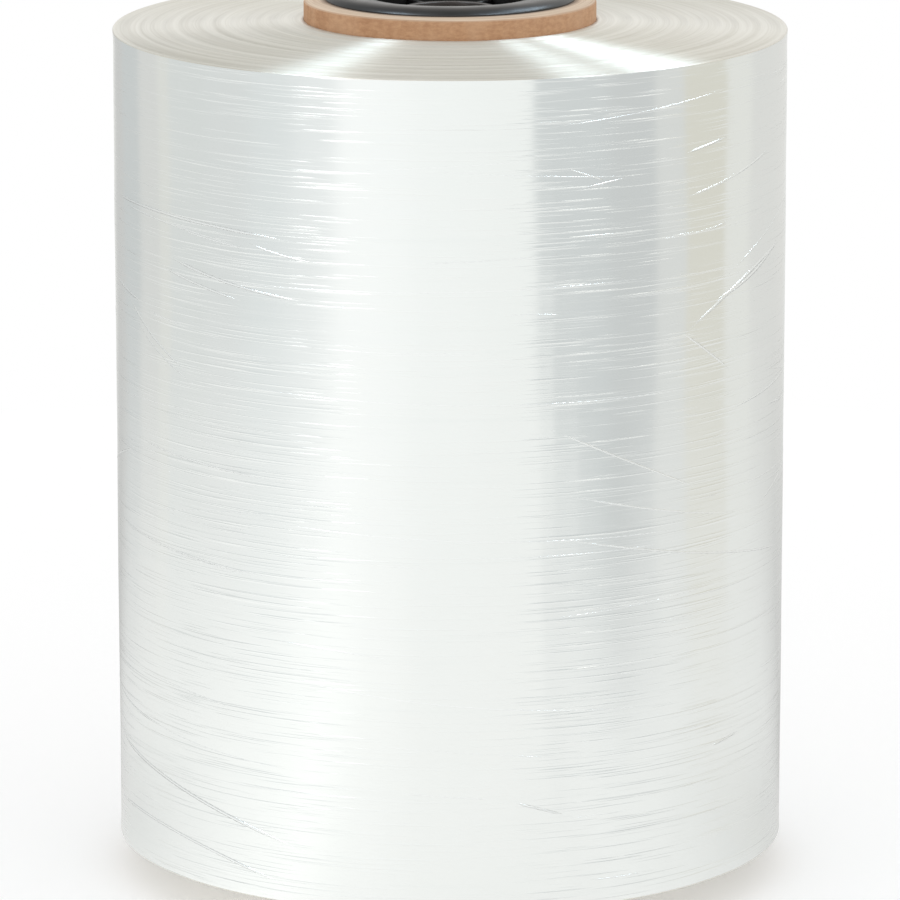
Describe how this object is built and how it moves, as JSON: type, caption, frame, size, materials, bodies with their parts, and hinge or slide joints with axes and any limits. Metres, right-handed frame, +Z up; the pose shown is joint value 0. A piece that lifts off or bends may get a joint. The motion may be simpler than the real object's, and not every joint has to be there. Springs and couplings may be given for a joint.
{
  "type": "roll of shrink film",
  "caption": "Upright roll of clear glossy shrink film wound on a card core that stands out at both ends, with a black plastic plug with a spindle hole in each end of the core.",
  "frame": {"origin": "middle of the face that the roll stands on, which is the crest of the lower plug's rim", "axes": "+Z up along the roll's axis; +X and +Y across it, with -Y towards the side that the picture shows"},
  "size_m": [0.2085, 0.2084, 0.2763],
  "materials": {
    "film": "clear film wound tight, milky in depth and glossy",
    "core": "plain brown spiral-wound card",
    "plug": "black moulded plastic, glossy"
  },
  "bodies": {
    "root": {"film_roll": "film", "core_tube": "core", "top_core_plug": "plug", "bottom_core_plug": "plug"}
  },
  "joints": []
}
